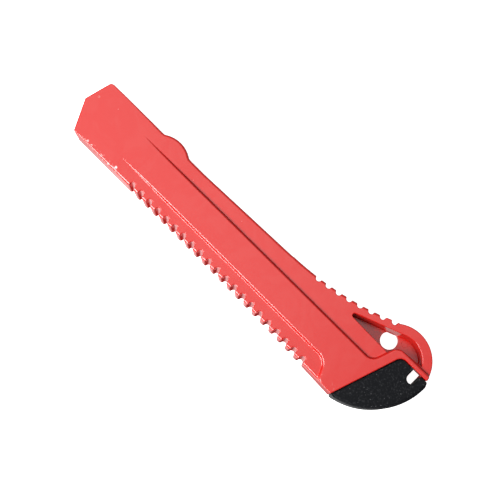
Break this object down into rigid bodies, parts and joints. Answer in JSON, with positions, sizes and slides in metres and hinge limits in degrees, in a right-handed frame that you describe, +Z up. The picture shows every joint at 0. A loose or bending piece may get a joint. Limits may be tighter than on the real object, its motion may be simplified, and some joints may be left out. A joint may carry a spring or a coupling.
{
  "type": "snap-off utility knife",
  "caption": "Snap-off utility knife: moulded handle with grip teeth, riveted slider with a rocking lock button, retracted blade and a slide-off tail cap with a snapping notch.",
  "frame": {"origin": "centre of the knife's outline, on the surface that it lies on", "axes": "+X towards the nose, which the blade slides out of; +Y towards the long toothed edge; +Z up, out of the plain back"},
  "size_m": [0.166, 0.039, 0.013],
  "materials": {
    "red_plastic": "glossy injection moulded plastic",
    "black_plastic": "matte, finely grained plastic",
    "spring_steel": "rolled and ground steel"
  },
  "bodies": {
    "handle": {"housing": "red_plastic", "guide_track": "spring_steel"},
    "slider": {"slider_carriage": "black_plastic", "slider_plate": "black_plastic", "slider_rivet_front": "spring_steel", "slider_rivet_rear": "spring_steel", "slide_spring": "spring_steel", "blade_holder": "spring_steel", "blade": "spring_steel", "rocker_pin": "spring_steel", "button_spring": "spring_steel"},
    "button": {"lock_button": "black_plastic", "lock_tooth": "spring_steel"},
    "cap": {"end_cap": "black_plastic"}
  },
  "joints": [
    {"name": "blade_slide", "type": "slide", "parent": "handle", "child": "slider", "axis": [1, 0, 0], "range_m": [0, 0.078]},
    {"name": "button_rock", "type": "hinge", "parent": "slider", "child": "button", "pos_m": [-0.0285, 0.0059, 0.0042], "axis": [0, -1, 0], "range_deg": [0, 7], "stiffness_Nm_per_rad": 0.12, "springref_deg": -6.88, "deforming": ["button_spring"]},
    {"name": "cap_pull", "type": "slide", "parent": "handle", "child": "cap", "axis": [-1, 0, 0], "range_m": [0, 0.03]}
  ]
}
